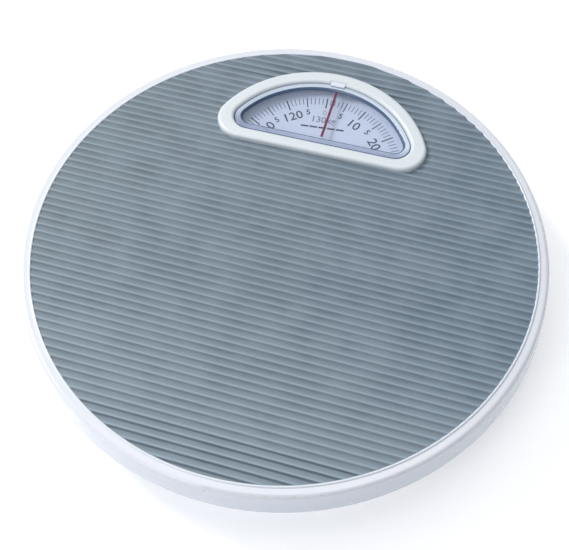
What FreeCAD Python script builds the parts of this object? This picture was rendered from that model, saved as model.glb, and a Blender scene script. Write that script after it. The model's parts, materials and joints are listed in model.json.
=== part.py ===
"""Round mechanical bathroom scale, modelled as a parametric document.

Frame: millimetres, +Z up, origin on the floor under the middle of the platform.
+Y points from the user's heels to the dial.  Weight on the platform presses four load
pins, which turn four levers; the long levers pull a sprung yoke down, a bell crank turns
that drop into the travel of a rack, and the rack turns the dial's pinion.
"""
import FreeCAD, Part
import math
import os

import Sketcher
from FreeCAD import Placement, Rotation, Vector

os.makedirs("parts", exist_ok=True)
doc = FreeCAD.newDocument("BathroomScale")

# ---------------------------------------------------------------- driving dimensions
DIMENSIONS = {
    # platform and mat
    "mat_radius": 125.0,
    "mat_top": 46.0,
    "mat_base": 44.0,
    "rib_pitch": 4.193,
    "rib_depth": 0.95,
    "rib_count": 60,
    "first_groove": 123.48,
    "rib_rise": 0.34,
    "rib_fall": 0.60,
    "rim_top": 45.2,
    "rim_edge": 131.05,
    "rim_round": 2.2,
    "skirt_radius": 132.3,
    "skirt_bottom": 29.5,
    "sheet": 1.2,
    # window
    "window_y": 52.0,
    "window_turn": 0.9,
    "bezel_radius": 60.45,
    "bezel_front": 57.25,
    "bezel_corner": 13.5,
    "bezel_round": 1.9,
    "bezel_top": 48.8,
    "opening_radius": 52.9,
    "opening_front": 63.8,
    "opening_corner": 8.5,
    "lens_gap": 0.05,
    "lens_bottom": 44.6,
    "lens_thick": 3.0,
    "tab_half": 3.6,
    "tab_flare": 0.8,
    "tab_front": -1.6,
    "tab_back": 1.4,
    "tab_thick": 0.9,
    "pointer_front": 71.0,
    "pointer_width": 1.3,
    "pointer_length": 31.8,
    "pointer_thick": 0.3,
    # base pan and feet
    "pan_radius": 121.0,
    "pan_bottom": 5.0,
    "pan_top": 34.0,
    "pan_sheet": 1.0,
    "pan_corner": 5.0,
    "floor": 6.0,
    "foot_radius": 11.0,
    "foot_place": 64.0,
    "stem_radius": 4.0,
    # levers
    "corner_x": 70.0,
    "fulcrum_y": 78.0,
    "load_y": 58.0,
    "pivot_z": 18.0,
    "pin_radius": 2.0,
    "pin_clearance": 0.06,
    "pin_half": 6.5,
    "lever_sheet": 2.0,
    "nose_x": 13.0,
    "nose_end": 82.0,
    "bend_y": 50.0,
    "nose_bend": 70.0,
    "contact_gap": 0.2,
    # yoke, main spring and zero lever
    "spring_y": 82.0,
    "yoke_top": 18.8,
    "yoke_sheet": 1.6,
    "yoke_drop": 8.0,
    "hinge_y": 97.0,
    "hinge_z": 34.8,
    "small_pin": 1.5,
    "knob_y": 113.0,
    "knob_radius": 12.0,
    "knob_bottom": 12.0,
    "knob_tall": 8.0,
    "screw_radius": 2.0,
    # crank, rack and dial
    "crank_x": -16.0,
    "crank_y": 99.0,
    "crank_z": 16.4,
    "crank_half_turn": 20.84,
    "crank_sheet": 1.6,
    "tip_radius": 1.5,
    "rack_bottom": 32.7,
    "rack_sheet": 1.5,
    "rack_front": 44.0,
    "dial_y": 54.0,
    "dial_radius": 55.0,
    "dial_bottom": 38.9,
    "dial_sheet": 0.6,
    "gear_module": 0.4,
    "gear_teeth": 10,
    "spindle_radius": 1.2,
    "rivet_radius": 1.5,
    # brackets on the pan
    "bracket_sheet": 1.5,
    "bracket_depth": 8.0,
    "fulcrum_tall": 17.0,
    "crank_bracket_tall": 14.0,
    "crank_bracket_half": 4.5,
    "tower_tall": 31.3,
    "tower_half": 8.5,
    "tower_depth": 7.0,
    "bridge_top": 24.5,
    "guide_bottom": 30.5,
    "post_x": -5.0,
    "post_y": 10.0,
    "post_tall": 31.0,
    # coil springs: middle of the coil, wire radius, turns and length
    "retainer_x": 95.0,
    "retainer_bottom": 8.0,
    "retainer_coil": 4.0,
    "retainer_wire": 0.6,
    "retainer_turns": 12,
    "retainer_length": 32.5,
    "main_bottom": 20.4,
    "main_coil": 8.0,
    "main_wire": 1.25,
    "main_turns": 4,
    "main_length": 11.6,
    "return_front": 15.6,
    "return_coil": 2.2,
    "return_wire": 0.35,
    "return_turns": 14,
    "return_length": 27.4,
}

sheet = doc.addObject("Spreadsheet::Sheet", "Dims")
for row, (alias, number) in enumerate(DIMENSIONS.items(), start=1):
    sheet.set("A%d" % row, alias)
    sheet.set("B%d" % row, str(number))
    sheet.setAlias("B%d" % row, alias)
doc.recompute()

subparts = []


def value(expression):
    """Number that a spreadsheet expression gives now."""
    if isinstance(expression, (int, float)):
        return float(expression)
    result = sheet.evalExpression(expression)
    return float(getattr(result, "Value", result))


# ---------------------------------------------------------------- building helpers
def new_body(label, x=0, y=0, z=0):
    """PartDesign body called label whose own origin stands at x, y, z (expressions)."""
    body = doc.addObject("PartDesign::Body", label)
    body.Label = label
    place(body, x, y, z)
    subparts.append(body)
    return body


def place(item, x, y, z):
    for axis, expression in (("x", x), ("y", y), ("z", z)):
        item.setExpression("Placement.Base.%s" % axis, str(expression))


def origin_feature(body, role):
    return next(part for part in body.Origin.OriginFeatures if part.Role == role)


def new_sketch(body, plane, lift=0):
    """Sketch on one of the body's own planes, lifted along that plane's normal."""
    sketch = body.newObject("Sketcher::SketchObject", body.Label + "_sketch")
    sketch.AttachmentSupport = [(origin_feature(body, plane), "")]
    sketch.MapMode = "FlatFace"
    sketch.setExpression("AttachmentOffset.Base.z", str(lift))
    return sketch


def fix_point(sketch, geometry, end, across, up):
    """Pin one point of the sketch to expressions measured from the sketch's origin."""
    for kind, expression in (("DistanceX", across), ("DistanceY", up)):
        rule = Sketcher.Constraint(kind, -1, 1, geometry, end, value(expression))
        sketch.setExpression("Constraints[%d]" % sketch.addConstraint(rule), str(expression))


def draw_polygon(sketch, corners):
    """Closed outline; each corner is a pair of numbers or spreadsheet expressions."""
    spots = [Vector(value(across), value(up), 0) for across, up in corners]
    first = sketch.GeometryCount
    count = len(spots)
    for index, spot in enumerate(spots):
        sketch.addGeometry(Part.LineSegment(spot, spots[(index + 1) % count]), False)
    for index, (across, up) in enumerate(corners):
        following = first + (index + 1) % count
        sketch.addConstraint(Sketcher.Constraint("Coincident", first + index, 2, following, 1))
        fix_point(sketch, first + index, 1, across, up)


def draw_circle(sketch, across, up, radius):
    circle = Part.Circle(Vector(value(across), value(up), 0), Vector(0, 0, 1), value(radius))
    index = sketch.addGeometry(circle, False)
    fix_point(sketch, index, 3, across, up)
    rule = sketch.addConstraint(Sketcher.Constraint("Radius", index, value(radius)))
    sketch.setExpression("Constraints[%d]" % rule, str(radius))


def draw_window(body, radius, front, lift=0):
    """D outline about the window's centre, slightly turned: an arc closed by a straight front edge."""
    sketch = new_sketch(body, "XY_Plane", lift)
    sketch.setExpression("AttachmentOffset.Base.y", "Dims.window_y")
    sketch.setExpression("AttachmentOffset.Rotation.Angle", "Dims.window_turn")
    reach = value(radius)
    drop = value("(%s) - Dims.window_y" % front)
    start = math.asin(drop / reach)
    circle = Part.Circle(Vector(0, 0, 0), Vector(0, 0, 1), reach)
    arc = sketch.addGeometry(Part.ArcOfCircle(circle, start, math.pi - start), False)
    half = reach * math.cos(start)
    chord = sketch.addGeometry(Part.LineSegment(Vector(-half, drop, 0), Vector(half, drop, 0)), False)
    sketch.addConstraint(Sketcher.Constraint("Coincident", arc, 2, chord, 1))
    sketch.addConstraint(Sketcher.Constraint("Coincident", arc, 1, chord, 2))
    sketch.addConstraint(Sketcher.Constraint("Horizontal", chord))
    sketch.addConstraint(Sketcher.Constraint("Coincident", arc, 3, -1, 1))
    size = sketch.addConstraint(Sketcher.Constraint("Radius", arc, reach))
    sketch.setExpression("Constraints[%d]" % size, str(radius))
    rule = Sketcher.Constraint("DistanceY", -1, 1, chord, 1, drop)
    sketch.setExpression("Constraints[%d]" % sketch.addConstraint(rule), "(%s) - Dims.window_y" % front)
    return sketch


def front_corner(front):
    """Test for the upright edges at a window outline's two front corners."""
    level = value(front)
    reach = value("Dims.bezel_radius") * math.sin(math.radians(value("Dims.window_turn"))) + 1

    def chosen(edge):
        return upright(edge) and abs(edge.Vertexes[0].Point.y - level) < reach

    return chosen


def pad(body, sketch, length, symmetric=False):
    feature = body.newObject("PartDesign::Pad", body.Label + "_pad")
    feature.Profile = sketch
    feature.SideType = "Symmetric" if symmetric else "One side"
    feature.setExpression("Length", str(length))
    doc.recompute()
    return feature


def pocket(body, sketch, length=None, both_ways=False):
    """Cut the sketch out of the body, right through when no length is given."""
    before = body.Shape.Volume
    feature = body.newObject("PartDesign::Pocket", body.Label + "_pocket")
    feature.Profile = sketch
    feature.SideType = "Symmetric" if both_ways else "One side"
    if length is None:
        feature.Type = "ThroughAll"
    else:
        feature.setExpression("Length", str(length))
    doc.recompute()
    if body.Shape.Volume > before - 1e-6:
        raise RuntimeError("a pocket in %s cut nothing" % body.Label)
    return feature


def revolve(body, corners):
    """Turn an outline of (radius, height) corners about the body's Z axis."""
    sketch = new_sketch(body, "XZ_Plane")
    draw_polygon(sketch, corners)
    feature = body.newObject("PartDesign::Revolution", body.Label + "_turn")
    feature.Profile = sketch
    feature.ReferenceAxis = (sketch, ["V_Axis"])
    feature.Angle = 360
    doc.recompute()
    return feature


def round_edges(body, radius, chosen):
    """Fillet the edges of the body's shape for which chosen(edge) is true."""
    base = body.Tip
    names = ["Edge%d" % number for number, edge in enumerate(base.Shape.Edges, start=1) if chosen(edge)]
    if not names:
        raise RuntimeError("no edge of %s was chosen to round" % body.Label)
    feature = body.newObject("PartDesign::Fillet", body.Label + "_round")
    feature.Base = (base, names)
    feature.setExpression("Radius", str(radius))
    doc.recompute()
    return feature


def upright(edge):
    """True for a straight edge that runs along Z."""
    ends = [vertex.Point for vertex in edge.Vertexes]
    return len(ends) == 2 and (ends[0] - ends[1]).cross(Vector(0, 0, 1)).Length < 1e-6


def ring_at(radius, height):
    """Test for a circular edge about Z at that radius and height in its body's frame."""

    def chosen(edge):
        curve = edge.Curve
        if not isinstance(curve, Part.Circle) or Vector(curve.Center.x, curve.Center.y, 0).Length > 1e-3:
            return False
        return abs(curve.Radius - value(radius)) < 1e-3 and abs(curve.Center.z - value(height)) < 1e-3

    return chosen


def plate(label, corners, thickness, height, holes=()):
    """Flat sheet piece: a plan outline raised from height, with round holes (x, y, radius)."""
    body = new_body(label, z=height)
    sketch = new_sketch(body, "XY_Plane")
    draw_polygon(sketch, corners)
    pad(body, sketch, thickness)
    if holes:
        hole_sketch = new_sketch(body, "XY_Plane")
        for across, along, radius in holes:
            draw_circle(hole_sketch, across, along, radius)
        pocket(body, hole_sketch, both_ways=True)
    return body


def channel(label, x, y, half_width, tall, depth, bore_height, bore_radius):
    """U bracket standing on the pan: floor plate, two ears across X and a bore through both ears."""
    body = new_body(label, x, y, "Dims.floor")
    metal = "Dims.bracket_sheet"
    inner = "%s - %s" % (half_width, metal)
    sketch = new_sketch(body, "XZ_Plane")
    outline = [
        ("-(%s)" % half_width, 0), (half_width, 0), (half_width, tall), (inner, tall),
        (inner, metal), ("-(%s)" % inner, metal), ("-(%s)" % inner, tall), ("-(%s)" % half_width, tall),
    ]
    draw_polygon(sketch, outline)
    pad(body, sketch, depth, symmetric=True)
    bore = new_sketch(body, "YZ_Plane")
    draw_circle(bore, 0, bore_height, bore_radius)
    pocket(body, bore, both_ways=True)
    rivet_hole = new_sketch(body, "XY_Plane")
    draw_circle(rivet_hole, 0, 0, "Dims.rivet_radius")
    pocket(body, rivet_hole, "3 * %s" % metal, both_ways=True)
    corner = value(tall)

    def ear_corner(edge):
        ends = [vertex.Point for vertex in edge.Vertexes]
        if len(ends) != 2 or abs(ends[0].y - ends[1].y) > 1e-6:
            return False
        return all(abs(point.z - corner) < 1e-6 for point in ends)

    round_edges(body, "%s / 2 - 0.6" % depth, ear_corner)
    return body


def pins(label, spots, radius, half_length):
    """Group of separate round pins along X, at spots (x, y, z)."""
    rods = []
    for number, (x, y, z) in enumerate(spots, start=1):
        rod = doc.addObject("Part::Cylinder", "%s_rod_%d" % (label, number))
        rod.setExpression("Radius", radius)
        rod.setExpression("Height", "2 * (%s)" % half_length)
        rod.Placement.Rotation = Rotation(Vector(0, 1, 0), 90)
        place(rod, "%s - (%s)" % (x, half_length), y, z)
        rods.append(rod)
    if len(rods) == 1:
        rods[0].Label = label
        subparts.append(rods[0])
        return
    group = doc.addObject("Part::Compound", label)
    group.Label = label
    group.Links = rods
    subparts.append(group)


def coil_spring(label, kind, x, y, z, lying=False):
    """Helical spring of the kind sized in the spreadsheet, standing at x, y, z or lying along +Y."""
    body = new_body(label, x, y, z)
    if lying:
        body.Placement.Rotation = Rotation(Vector(1, 0, 0), -90)
        place(body, x, y, z)
    sketch = new_sketch(body, "XZ_Plane")
    draw_circle(sketch, "Dims.%s_coil" % kind, 0, "Dims.%s_wire" % kind)
    feature = body.newObject("PartDesign::AdditiveHelix", label + "_helix")
    feature.Profile = sketch
    feature.ReferenceAxis = (sketch, ["V_Axis"])
    feature.Mode = "height-turns-angle"
    feature.setExpression("Height", "Dims.%s_length" % kind)
    feature.setExpression("Turns", "Dims.%s_turns" % kind)
    doc.recompute()
    return body


# ---------------------------------------------------------------- base pan, feet and rivets
CORNERS = {
    "front_left": (-1, -1),
    "front_right": (1, -1),
    "rear_left": (-1, 1),
    "rear_right": (1, 1),
}
SIDES = {"left": -1, "right": 1}

BRIDGE_RIVETS = [(side * 16, "Dims.dial_y + %d" % (6 * row)) for side in (-1, 1) for row in (-1, 1)]
BRACKET_RIVETS = [("%d * Dims.corner_x" % sx, "%d * Dims.fulcrum_y" % sy) for sx, sy in CORNERS.values()]
SINGLE_RIVETS = [("0", "Dims.hinge_y"), ("Dims.crank_x", "Dims.crank_y"), ("Dims.post_x", "Dims.post_y")]
RIVETS = BRACKET_RIVETS + BRIDGE_RIVETS + SINGLE_RIVETS


def make_base_pan():
    body = new_body("base_pan", z="Dims.pan_bottom")
    tall = "Dims.pan_top - Dims.pan_bottom"
    inner = "Dims.pan_radius - Dims.pan_sheet"
    revolve(body, [
        (0, 0), ("Dims.pan_radius", 0), ("Dims.pan_radius", tall), (inner, tall),
        (inner, "Dims.pan_sheet"), (0, "Dims.pan_sheet"),
    ])
    round_edges(body, "Dims.pan_corner", ring_at("Dims.pan_radius", 0))
    round_edges(body, "Dims.pan_corner - Dims.pan_sheet", ring_at(inner, "Dims.pan_sheet"))
    holes = new_sketch(body, "XY_Plane")
    for side, end in CORNERS.values():
        draw_circle(holes, "%d * Dims.foot_place" % side, "%d * Dims.foot_place" % end, "Dims.stem_radius")
    for x, y in RIVETS:
        draw_circle(holes, x, y, "Dims.rivet_radius")
    pocket(body, holes, both_ways=True)
    # slot in the rear wall through which the zero knob stands out
    slot = new_sketch(body, "XY_Plane", "Dims.knob_bottom + Dims.knob_tall + 1.2 - Dims.pan_bottom")
    reach = "Dims.knob_radius - 1.8"
    draw_polygon(slot, [
        ("-(%s)" % reach, "Dims.knob_y"), (reach, "Dims.knob_y"),
        (reach, "Dims.pan_radius + 3"), ("-(%s)" % reach, "Dims.pan_radius + 3"),
    ])
    pocket(body, slot, "Dims.knob_tall + 2.4")


def make_foot(label, side, end):
    body = new_body(label, "%d * Dims.foot_place" % side, "%d * Dims.foot_place" % end, 0)
    bead = "Dims.foot_radius"
    revolve(body, [
        (0, 0), (bead + " - 1", 0), (bead, 1), (bead, "Dims.pan_bottom"),
        ("Dims.stem_radius", "Dims.pan_bottom"), ("Dims.stem_radius", "Dims.floor"),
        ("Dims.stem_radius + 1.8", "Dims.floor"), ("Dims.stem_radius", "Dims.floor + 2.4"),
        (0, "Dims.floor + 2.4"),
    ])


def make_rivets():
    """Domed rivets that hold the brackets to the pan, one node of separate solids."""
    shank = value("Dims.rivet_radius")
    under = value("Dims.pan_bottom")
    over = value("Dims.floor + Dims.bracket_sheet")
    head = 2.7
    outline = [
        Vector(0, 0, under - 0.8), Vector(2.4, 0, under - 0.8), Vector(head, 0, under),
        Vector(shank, 0, under), Vector(shank, 0, over), Vector(head, 0, over),
        Vector(2.0, 0, over + 0.9), Vector(0, 0, over + 1.2),
    ]
    face = Part.Face(Part.makePolygon(outline + outline[:1]))
    rivet = face.revolve(Vector(0, 0, 0), Vector(0, 0, 1), 360)
    copies = []
    for x, y in RIVETS:
        copy = rivet.copy()
        copy.translate(Vector(value(x), value(y), 0))
        copies.append(copy)
    group = doc.addObject("Part::Feature", "base_rivets")
    group.Label = "base_rivets"
    group.Shape = Part.makeCompound(copies)
    group.Placement = Placement()
    subparts.append(group)


def make_stud(label, stands):
    """Pair of studs that the retainer springs grip; stands is their foot and end height."""
    low, high = stands
    rods = []
    for side_name, side in SIDES.items():
        rod = doc.addObject("Part::Cylinder", "%s_%s" % (label, side_name))
        rod.Radius = 3.2
        rod.setExpression("Height", "%s - (%s)" % (high, low))
        place(rod, "%d * Dims.retainer_x" % side, 0, low)
        rods.append(rod)
    group = doc.addObject("Part::Compound", label)
    group.Label = label
    group.Links = rods
    subparts.append(group)


# ---------------------------------------------------------------- platform
def make_platform_shell():
    body = new_body("platform_shell")
    under = "Dims.mat_base - Dims.sheet"
    recess = "Dims.mat_radius + 0.5"
    rim_under = "Dims.rim_top - Dims.sheet"
    revolve(body, [
        (0, under), (recess + " + 1.0", under), (recess + " + 1.9", rim_under),
        ("Dims.rim_edge - Dims.sheet", rim_under), ("Dims.skirt_radius - Dims.sheet", "Dims.skirt_bottom"),
        ("Dims.skirt_radius", "Dims.skirt_bottom"), ("Dims.rim_edge", "Dims.rim_top"),
        (recess + " + 0.7", "Dims.rim_top"), (recess, "Dims.mat_base"), (0, "Dims.mat_base"),
    ])
    round_edges(body, "Dims.rim_round", ring_at("Dims.rim_edge", "Dims.rim_top"))
    round_edges(body, "Dims.rim_round - Dims.sheet", ring_at("Dims.rim_edge - Dims.sheet", rim_under))
    window = draw_window(body, "Dims.opening_radius", "Dims.opening_front", "Dims.mat_top")
    pocket(body, window, "Dims.mat_top - Dims.mat_base + Dims.sheet + 1")


def make_tread_mat():
    """Ribbed rubber mat: steep rise to each rib's crest, long fall behind it."""
    body = new_body("tread_mat", z="Dims.mat_base")
    disc = new_sketch(body, "XY_Plane")
    draw_circle(disc, 0, 0, "Dims.mat_radius")
    pad(body, disc, "Dims.mat_top - Dims.mat_base")
    window = draw_window(body, "Dims.bezel_radius", "Dims.bezel_front", "Dims.mat_top - Dims.mat_base")
    pocket(body, window)
    round_edges(body, "Dims.bezel_corner", front_corner("Dims.bezel_front"))
    groove = new_sketch(body, "YZ_Plane")
    crest = "Dims.mat_top - Dims.mat_base"
    draw_polygon(groove, [
        ("Dims.first_groove - Dims.rib_fall * Dims.rib_pitch", crest + " + 0.01"),
        ("Dims.first_groove", crest + " - Dims.rib_depth"),
        ("Dims.first_groove + Dims.rib_rise * Dims.rib_pitch", crest + " + 0.01"),
    ])
    cut = pocket(body, groove, both_ways=True)
    ribs = body.newObject("PartDesign::LinearPattern", "tread_mat_ribs")
    ribs.Originals = [cut]
    ribs.Direction = (origin_feature(body, "Y_Axis"), [""])
    ribs.Reversed = True
    ribs.setExpression("Length", "Dims.rib_pitch * (Dims.rib_count - 1)")
    ribs.Occurrences = int(value("Dims.rib_count"))
    body.Tip = ribs
    doc.recompute()


def make_window_bezel():
    """Raised frame with rounded rims, notched at the back for the lens's tab."""
    body = new_body("window_bezel", z="Dims.mat_base")
    crest = "Dims.bezel_top - Dims.mat_base"
    pad(body, draw_window(body, "Dims.bezel_radius", "Dims.bezel_front"), crest)
    round_edges(body, "Dims.bezel_corner", upright)
    pocket(body, draw_window(body, "Dims.opening_radius", "Dims.opening_front", crest))
    round_edges(body, "Dims.opening_corner", front_corner("Dims.opening_front"))
    top = value(crest)

    def top_edge(edge):
        return all(abs(vertex.Z - top) < 1e-6 for vertex in edge.Vertexes)

    round_edges(body, "Dims.bezel_round", top_edge)
    notch = new_sketch(body, "XY_Plane", crest)
    side = "(Dims.tab_half + Dims.tab_flare + 0.1)"
    edge = "Dims.window_y + Dims.opening_radius"
    front = edge + " + Dims.tab_front"
    back = edge + " + Dims.tab_back + 0.1"
    draw_polygon(notch, [("-" + side, front), (side, front), (side, back), ("-" + side, back)])
    pocket(body, notch, "Dims.bezel_top - Dims.lens_bottom - Dims.lens_thick")


def make_lens():
    body = new_body("lens", z="Dims.lens_bottom")
    outline = draw_window(body, "Dims.opening_radius - Dims.lens_gap", "Dims.opening_front + Dims.lens_gap")
    pad(body, outline, "Dims.lens_thick")
    round_edges(body, "Dims.opening_corner", upright)


def make_load_post(label, side, end):
    """Inverted U that straddles a lever and rests on the ends of its load pin."""
    low = "Dims.pivot_z + Dims.pin_radius + Dims.contact_gap"
    tall = "Dims.mat_base - Dims.sheet - (%s)" % low
    body = new_body(label, "%d * Dims.corner_x" % side, "%d * Dims.load_y" % end, low)
    sketch = new_sketch(body, "XZ_Plane")
    draw_polygon(sketch, [
        (-6, 0), (-4, 0), (-4, 6.5), (4, 6.5), (4, 0), (6, 0), (6, tall), (-6, tall),
    ])
    pad(body, sketch, 8, symmetric=True)


# ---------------------------------------------------------------- levers
def make_lever(label, side, end, plan, profile, fulcrum):
    """Sheet lever: a bent plan strip cut to its side profile, bored for its two pins."""
    body = new_body(label, z=0)
    strip = new_sketch(body, "XY_Plane")
    half = "Dims.lever_sheet / 2"
    outward = [("%d * (%s) + %s" % (side, x, half), y) for x, y in plan]
    inward = [("%d * (%s) - %s" % (side, x, half), y) for x, y in reversed(plan)]
    draw_polygon(strip, outward + inward)
    pad(body, strip, 30)
    waste = new_sketch(body, "YZ_Plane")
    draw_polygon(waste, [(-95, -5), (95, -5), (95, 40), (-95, 40)])
    draw_polygon(waste, profile)
    pocket(body, waste, both_ways=True)
    bores = new_sketch(body, "YZ_Plane")
    draw_circle(bores, "%d * Dims.fulcrum_y" % end, fulcrum, "Dims.pin_radius")
    draw_circle(bores, "%d * Dims.load_y" % end, fulcrum, "Dims.pin_radius")
    pocket(body, bores, both_ways=True)


MEETING_X = "Dims.corner_x - (Dims.corner_x - Dims.nose_x) * Dims.bend_y / (Dims.bend_y + Dims.nose_bend)"
LEVER_SLOPE = "(Dims.corner_x - Dims.nose_x) / (Dims.bend_y + Dims.nose_bend)"
LONG_PLAN = [
    ("Dims.corner_x", "-(Dims.fulcrum_y + 8)"), ("Dims.corner_x", "-Dims.bend_y"),
    ("Dims.nose_x", "Dims.nose_bend"), ("Dims.nose_x", "Dims.nose_end + 1"),
]
NOSE_BOTTOM = "Dims.yoke_top + Dims.contact_gap"
LONG_PROFILE = [
    ("-(Dims.fulcrum_y + 7)", 14), ("-60", 13), ("20", 13), ("74", NOSE_BOTTOM),
    ("Dims.nose_end", NOSE_BOTTOM), ("Dims.nose_end", 24), ("Dims.nose_bend", 24), ("60", 22),
    ("-(Dims.fulcrum_y + 7)", 22),
]
SHORT_PLAN = [
    ("Dims.corner_x", "Dims.fulcrum_y + 8"), ("Dims.corner_x", "Dims.bend_y"),
    (MEETING_X, 0), ("%s - 4 * %s" % (MEETING_X, LEVER_SLOPE), -4),
]
TIP_BOTTOM = "22 + Dims.contact_gap"
SHORT_PROFILE = [
    ("Dims.fulcrum_y + 7", 14), ("Dims.fulcrum_y + 7", 22), (40, 22), (22, 26), (-2.5, 26),
    (-2.5, 23.4), (-1, TIP_BOTTOM), (1, TIP_BOTTOM), (3, 23.4), (8, 23.4), (14, 13), (60, 13),
]


# ---------------------------------------------------------------- yoke, springs and zero setting
def make_yoke_plate():
    front = "Dims.spring_y - 6.5"
    back = "Dims.crank_y - 9.6"
    outline = [
        (-12, front), (12, front), (20.5, "%s + 4" % front), (20.5, "%s - 4" % back), (12, back),
        (-20.5, back), (-20.5, "%s + 4" % front),
    ]
    holes = [(side * 17.5, "Dims.spring_y - 1", 1.2) for side in (-1, 1)]
    plate("yoke_plate", outline, "Dims.yoke_sheet", "Dims.yoke_top - Dims.yoke_sheet", holes)


def make_calibration_screws():
    """Two small slotted screws in the yoke, beside the lever noses."""
    seat = value("Dims.yoke_top")
    screws = []
    for side in SIDES.values():
        spot = Vector(side * 17.5, value("Dims.spring_y") - 1, seat)
        head = Part.makeCylinder(2.2, 1.6, spot)
        slot = Part.makeBox(5, 0.6, 0.8, spot + Vector(-2.5, -0.3, 0.9))
        shank = Part.makeCylinder(1.2, 2.8, spot - Vector(0, 0, 2.8))
        screws.append(head.cut(slot).fuse(shank).removeSplitter())
    group = doc.addObject("Part::Feature", "calibration_screws")
    group.Label = "calibration_screws"
    group.Shape = Part.makeCompound(screws)
    group.Placement = Placement()
    subparts.append(group)


def make_spring_plug(label, low, tall):
    """Round plug that the end coils of the main spring grip."""
    body = new_body(label, 0, "Dims.spring_y", low)
    revolve(body, [(0, 0), (6.0, 0), (6.4, 0.5), (6.4, "%s - 0.5" % tall), (6.0, tall), (0, tall)])


def make_zero_lever():
    body = new_body("zero_lever", 0, "Dims.hinge_y", "Dims.hinge_z")
    arm = new_sketch(body, "YZ_Plane")
    draw_polygon(arm, [
        ("Dims.spring_y - Dims.hinge_y - 8", -0.8), ("Dims.knob_y - Dims.hinge_y + 5", -0.8),
        ("Dims.knob_y - Dims.hinge_y + 5", 0.8), ("Dims.spring_y - Dims.hinge_y - 8", 0.8),
    ])
    pad(body, arm, 12, symmetric=True)
    barrel = new_sketch(body, "YZ_Plane")
    draw_circle(barrel, 0, 0, 2.6)
    pad(body, barrel, 13.4, symmetric=True)
    bore = new_sketch(body, "YZ_Plane")
    draw_circle(bore, 0, 0, "Dims.small_pin + Dims.pin_clearance")
    pocket(body, bore, both_ways=True)
    screw_hole = new_sketch(body, "XY_Plane")
    draw_circle(screw_hole, 0, "Dims.knob_y - Dims.hinge_y", "Dims.screw_radius + 0.5")
    pocket(body, screw_hole, both_ways=True)


def make_zero_nut():
    body = new_body("zero_nut", 0, "Dims.knob_y", "Dims.hinge_z + 0.8")
    bore = "Dims.screw_radius + 0.4"
    revolve(body, [(bore, 0), (4.6, 0), (4.6, 2.2), (4.2, 2.6), (bore, 2.6)])


def make_zero_knob():
    """Knurled thumb wheel with the adjusting screw as its axle."""
    body = new_body("zero_knob", 0, "Dims.knob_y", "Dims.knob_bottom")
    rim = "Dims.knob_radius"
    revolve(body, [
        ("Dims.screw_radius", 0), (rim + " - 0.8", 0), (rim, 0.8), (rim, "Dims.knob_tall - 0.8"),
        (rim + " - 0.8", "Dims.knob_tall"), ("Dims.screw_radius", "Dims.knob_tall"),
    ])
    notch = new_sketch(body, "XY_Plane")
    draw_circle(notch, rim + " + 0.25", 0, 0.8)
    cut = pocket(body, notch, both_ways=True)
    knurl = body.newObject("PartDesign::PolarPattern", "zero_knob_knurl")
    knurl.Originals = [cut]
    knurl.Axis = (origin_feature(body, "Z_Axis"), [""])
    knurl.Angle = 360
    knurl.Occurrences = 30
    body.Tip = knurl
    doc.recompute()


def make_zero_screw():
    body = new_body("zero_screw", 0, "Dims.knob_y", 6.4)
    tall = 32.5
    chamfer = 0.5
    revolve(body, [
        (0, 0), ("Dims.screw_radius", 0), ("Dims.screw_radius", tall - chamfer),
        ("Dims.screw_radius - %g" % chamfer, tall), (0, tall),
    ])


def make_knob_socket():
    body = new_body("knob_socket", 0, "Dims.knob_y", "Dims.floor")
    bore = "Dims.screw_radius + Dims.pin_clearance"
    revolve(body, [(0, 0), (3, 0), (3, 4.5), (bore, 4.5), (bore, 0.3), (0, 0.3)])


# ---------------------------------------------------------------- crank, rack, dial
def crank_arm_length(travel):
    """Arm whose tip crosses travel while the crank turns through its whole angle."""
    return "(%s) / (2 * sin(Dims.crank_half_turn))" % travel


RACK_TRAVEL = "pi * Dims.gear_module * Dims.gear_teeth"
SHORT_ARM = crank_arm_length("Dims.yoke_drop")
LONG_ARM = crank_arm_length(RACK_TRAVEL)


def make_crank():
    """Bell crank shown at rest: short arm on the yoke, long arm up into the rack."""
    body = new_body("crank", "Dims.crank_x", "Dims.crank_y", "Dims.crank_z")
    lean = math.radians(value("Dims.crank_half_turn"))
    short = value(SHORT_ARM)
    long = value(LONG_ARM)
    tips = [
        (-short * math.cos(lean), short * math.sin(lean), SHORT_ARM, "-(%s) * cos(Dims.crank_half_turn)",
         "(%s) * sin(Dims.crank_half_turn)"),
        (long * math.sin(lean), long * math.cos(lean), LONG_ARM, "(%s) * sin(Dims.crank_half_turn)",
         "(%s) * cos(Dims.crank_half_turn)"),
    ]
    hub = new_sketch(body, "YZ_Plane")
    draw_circle(hub, 0, 0, 3)
    pad(body, hub, 5.4, symmetric=True)
    half = 1.0
    for y, z, arm, across, up in tips:
        reach = math.hypot(y, z)
        side_y = -z / reach * half
        side_z = y / reach * half
        tip_y = across % arm
        tip_z = up % arm
        limb = new_sketch(body, "YZ_Plane")
        draw_polygon(limb, [
            (-side_y, -side_z), ("%s - (%f)" % (tip_y, side_y), "%s - (%f)" % (tip_z, side_z)),
            ("%s + (%f)" % (tip_y, side_y), "%s + (%f)" % (tip_z, side_z)), (side_y, side_z),
        ])
        pad(body, limb, "Dims.crank_sheet", symmetric=True)
        tip = new_sketch(body, "YZ_Plane")
        draw_circle(tip, tip_y, tip_z, "Dims.tip_radius")
        pad(body, tip, "Dims.crank_sheet", symmetric=True)
    bore = new_sketch(body, "YZ_Plane")
    draw_circle(bore, 0, 0, "Dims.small_pin + Dims.pin_clearance")
    pocket(body, bore, both_ways=True)


TOOTH_BACKLASH = 0.16
PRESSURE_SLOPE = math.tan(math.radians(20))


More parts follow.
